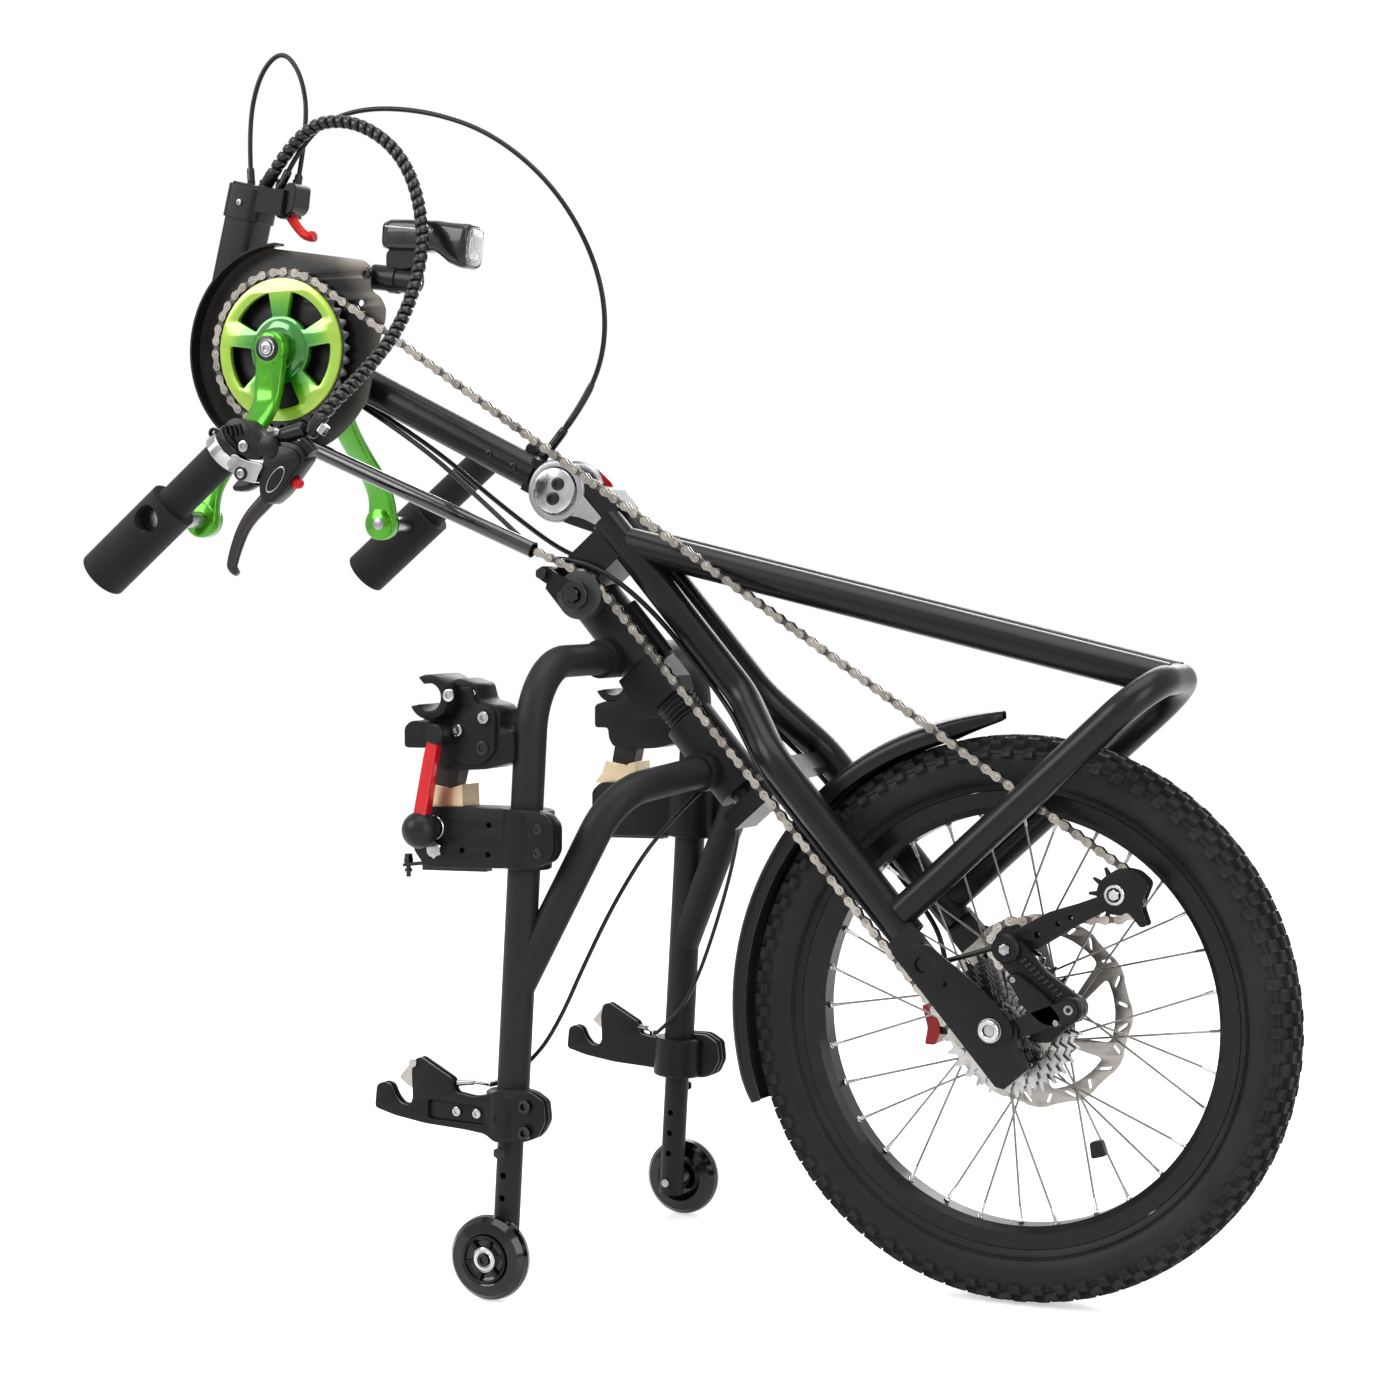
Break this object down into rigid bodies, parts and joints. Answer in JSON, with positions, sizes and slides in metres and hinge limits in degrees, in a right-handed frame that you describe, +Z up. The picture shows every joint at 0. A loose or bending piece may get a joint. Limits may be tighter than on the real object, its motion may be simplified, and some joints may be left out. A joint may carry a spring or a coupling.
{
  "type": "handcycle attachment",
  "caption": "Clip-on handcycle drive unit for a wheelchair: geared and braked front wheel on a steered fork, with arm cranks on a tilting boom and a docking frame on small castor wheels.",
  "frame": {"origin": "On the floor, under the middle of the box that holds the whole object.", "axes": "+X points forward, from the rider to the drive wheel; +Y to the rider's left; +Z up."},
  "size_m": [1.1325, 0.524, 1.186],
  "materials": {
    "frame_black": "satin",
    "dock_grey": "matte",
    "block_black": "satin",
    "tyre_rubber": "matte",
    "rim_black": "gloss",
    "spoke_steel": "bright",
    "hub_black": "anodised satin",
    "rotor_steel": "brushed",
    "axle_steel": "satin",
    "sprocket_steel": "nickel",
    "chain_steel": "nickel",
    "ring_green": "metallic gloss",
    "arm_green": "metallic gloss",
    "grip_black": "matte",
    "control_black": "satin",
    "lever_black": "satin",
    "lever_red": "satin anodised",
    "button_red": "satin",
    "wedge_gold": "anodised satin",
    "castor_black": "gloss",
    "cable_black": "satin",
    "lamp_black": "satin",
    "guard_black": "satin",
    "tube_black": "gloss",
    "screw_steel": "satin",
    "pin_steel": "bright"
  },
  "bodies": {
    "dock": {"dock_frames": "dock_grey", "upper_head_block": "dock_grey", "lower_head_block": "dock_grey", "steering_boot": "cable_black", "legs": "dock_grey", "castor_axles": "pin_steel", "clamp_brackets": "block_black", "clamp_jaws": "block_black", "clamp_wedges": "wedge_gold", "hook_plates": "block_black", "dock_fasteners": "screw_steel", "release_cables": "cable_black"},
    "clamp_lever_right_body": {"clamp_lever_right": "lever_red"},
    "clamp_lever_left_body": {"clamp_lever_left": "lever_red"},
    "hook_latch_right_body": {"hook_latch_right": "pin_steel"},
    "hook_latch_left_body": {"hook_latch_left": "pin_steel"},
    "castor_right_body": {"castor_wheel_right": "castor_black"},
    "castor_left_body": {"castor_wheel_left": "castor_black"},
    "fork": {"fork_blades": "frame_black", "steering_shaft": "frame_black", "guard_frame": "frame_black", "mudguard": "guard_black", "brake_caliper": "lever_black", "wheel_axle": "axle_steel", "knuckle_clevis": "block_black", "knuckle_pin": "pin_steel", "idler_arm": "block_black", "derailleur_body": "lever_black", "frame_cables": "cable_black", "chain": "chain_steel"},
    "knuckle_lever_body": {"knuckle_lever": "lever_red"},
    "idler_body": {"idler_wheel": "control_black"},
    "boom_body": {"boom": "frame_black", "chain_guard": "guard_black", "cable_mast": "block_black", "mast_cables": "cable_black", "control_hose": "cable_black", "chain_tube": "tube_black"},
    "lamp_body": {"lamp": "lamp_black"},
    "mast_lever_body": {"mast_lever": "lever_red"},
    "crank": {"crank_axle": "axle_steel", "chainring": "ring_green", "crank_arm_right": "arm_green", "crank_arm_left": "arm_green", "pedal_axles": "axle_steel"},
    "handle_right_body": {"handle_right": "grip_black", "brake_master": "control_black"},
    "handle_left_body": {"handle_left": "grip_black"},
    "brake_lever_body": {"brake_lever": "lever_black"},
    "shift_paddle_body": {"shift_paddle": "control_black"},
    "lock_button_body": {"lock_button": "button_red"},
    "wheel": {"tyre": "tyre_rubber", "rim": "rim_black", "spokes": "spoke_steel", "wheel_hub": "hub_black", "brake_rotor": "rotor_steel"},
    "cassette_body": {"cassette": "sprocket_steel"},
    "cage_body": {"derailleur_cage": "lever_black"},
    "guide_pulley_body": {"guide_pulley": "control_black"},
    "tension_pulley_body": {"tension_pulley": "control_black"}
  },
  "joints": [
    {"name": "steering", "type": "hinge", "parent": "dock", "child": "fork", "pos_m": [-0.0898, 0, 0.597], "axis": [0.6561, 0, -0.7547], "range_deg": [-24, 24]},
    {"name": "boom_tilt", "type": "hinge", "parent": "fork", "child": "boom_body", "pos_m": [-0.1548, 0, 0.74], "axis": [0, 1, 0], "range_deg": [-12, 12], "deforming": ["chain", "frame_cables"]},
    {"name": "knuckle_lever_turn", "type": "hinge", "parent": "fork", "child": "knuckle_lever_body", "pos_m": [-0.1548, 0.0258, 0.74], "axis": [0, -1, 0], "range_deg": [0, 70]},
    {"name": "idler_spin", "type": "hinge", "parent": "fork", "child": "idler_body", "pos_m": [-0.1168, -0.045, 0.6406], "axis": [0, 1, 0], "continuous": true},
    {"name": "lamp_tilt", "type": "hinge", "parent": "boom_body", "child": "lamp_body", "pos_m": [-0.3338, -0.022, 0.96], "axis": [0, 1, 0], "range_deg": [-15, 15]},
    {"name": "mast_lever_pull", "type": "hinge", "parent": "boom_body", "child": "mast_lever_body", "pos_m": [-0.4678, 0.002, 1.029], "axis": [0, 1, 0], "range_deg": [0, 18], "stiffness_Nm_per_rad": 0.5, "springref_deg": -11.46},
    {"name": "crank_spin", "type": "hinge", "parent": "boom_body", "child": "crank", "pos_m": [-0.4498, 0, 0.882], "axis": [0, 1, 0], "continuous": true, "deforming": ["control_hose"]},
    {"name": "handle_right_spin", "type": "hinge", "parent": "crank", "child": "handle_right_body", "pos_m": [-0.46166, -0.238, 0.71241], "axis": [0, 1, 0], "continuous": true, "deforming": ["control_hose"]},
    {"name": "handle_left_spin", "type": "hinge", "parent": "crank", "child": "handle_left_body", "pos_m": [-0.46166, 0.238, 0.71241], "axis": [0, 1, 0], "continuous": true},
    {"name": "brake_lever_pull", "type": "hinge", "parent": "handle_right_body", "child": "brake_lever_body", "pos_m": [-0.3318, -0.238, 0.754], "axis": [0, 1, 0], "range_deg": [0, 12], "stiffness_Nm_per_rad": 0.6, "springref_deg": -20.05},
    {"name": "shift_paddle_push", "type": "hinge", "parent": "handle_right_body", "child": "shift_paddle_body", "pos_m": [-0.3678, -0.238, 0.756], "axis": [0, 1, 0], "range_deg": [0, 15], "stiffness_Nm_per_rad": 0.2, "springref_deg": -11.46},
    {"name": "lock_button_press", "type": "slide", "parent": "handle_right_body", "child": "lock_button_body", "axis": [0, 0, 1], "range_m": [0, 0.003], "stiffness_N_per_m": 300, "springref_m": -0.002},
    {"name": "wheel_spin", "type": "hinge", "parent": "fork", "child": "wheel", "pos_m": [0.3082, 0, 0.258], "axis": [0, 1, 0], "continuous": true},
    {"name": "cassette_spin", "type": "hinge", "parent": "fork", "child": "cassette_body", "pos_m": [0.3082, -0.045, 0.258], "axis": [0, 1, 0], "continuous": true},
    {"name": "cage_swing", "type": "hinge", "parent": "fork", "child": "cage_body", "pos_m": [0.3182, -0.045, 0.3295], "axis": [0, 1, 0], "range_deg": [-20, 20], "stiffness_Nm_per_rad": 2, "deforming": ["chain"]},
    {"name": "guide_pulley_spin", "type": "hinge", "parent": "cage_body", "child": "guide_pulley_body", "pos_m": [0.3182, -0.045, 0.3295], "axis": [0, 1, 0], "continuous": true},
    {"name": "tension_pulley_spin", "type": "hinge", "parent": "cage_body", "child": "tension_pulley_body", "pos_m": [0.4122, -0.045, 0.38], "axis": [0, 1, 0], "continuous": true},
    {"name": "castor_right_spin", "type": "hinge", "parent": "dock", "child": "castor_right_body", "pos_m": [-0.1283, -0.205, 0.039], "axis": [0, 1, 0], "continuous": true},
    {"name": "castor_left_spin", "type": "hinge", "parent": "dock", "child": "castor_left_body", "pos_m": [-0.1283, 0.205, 0.039], "axis": [0, 1, 0], "continuous": true},
    {"name": "clamp_lever_right_turn", "type": "hinge", "parent": "dock", "child": "clamp_lever_right_body", "pos_m": [-0.1778, -0.214, 0.516], "axis": [0, 1, 0], "range_deg": [0, 100]},
    {"name": "clamp_lever_left_turn", "type": "hinge", "parent": "dock", "child": "clamp_lever_left_body", "pos_m": [-0.1778, 0.214, 0.516], "axis": [0, 1, 0], "range_deg": [0, 100]},
    {"name": "hook_latch_right_swing", "type": "hinge", "parent": "dock", "child": "hook_latch_right_body", "pos_m": [-0.2058, -0.198, 0.202], "axis": [0, -1, 0], "range_deg": [0, 35], "stiffness_Nm_per_rad": 0.1, "springref_deg": -17.19},
    {"name": "hook_latch_left_swing", "type": "hinge", "parent": "dock", "child": "hook_latch_left_body", "pos_m": [-0.2058, 0.198, 0.202], "axis": [0, -1, 0], "range_deg": [0, 35], "stiffness_Nm_per_rad": 0.1, "springref_deg": -17.19}
  ],
  "couplings": [
    {"joint": "cassette_spin", "follows": "crank_spin", "ratio": 1.8095},
    {"joint": "tension_pulley_spin", "follows": "crank_spin", "ratio": 3.4545},
    {"joint": "guide_pulley_spin", "follows": "crank_spin", "ratio": -3.4545},
    {"joint": "idler_spin", "follows": "crank_spin", "ratio": -3.8404}
  ]
}
